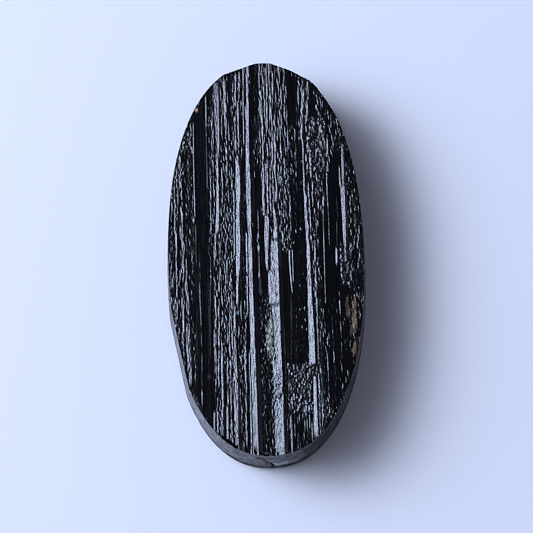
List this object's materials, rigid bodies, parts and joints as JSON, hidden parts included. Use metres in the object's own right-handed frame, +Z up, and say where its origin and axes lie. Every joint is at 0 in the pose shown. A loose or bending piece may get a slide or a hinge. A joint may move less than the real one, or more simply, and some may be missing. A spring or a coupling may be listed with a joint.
{
  "type": "tourmaline crystal",
  "caption": "Oval slab of black tourmaline lying flat: raw striated crystal face on top, ground satin side wall, flat ground base to rest on.",
  "frame": {"origin": "on the flat base, in the middle of the oval", "axes": "+Z up out of the raw top, +Y along the oval's length and along the striations, +X across the oval"},
  "size_m": [0.02, 0.0406, 0.007],
  "materials": {
    "black_tourmaline": "glossy on the raw striated top, satin on the ground wall and base"
  },
  "bodies": {
    "root": {"tourmaline_crystal": "black_tourmaline"}
  },
  "joints": []
}
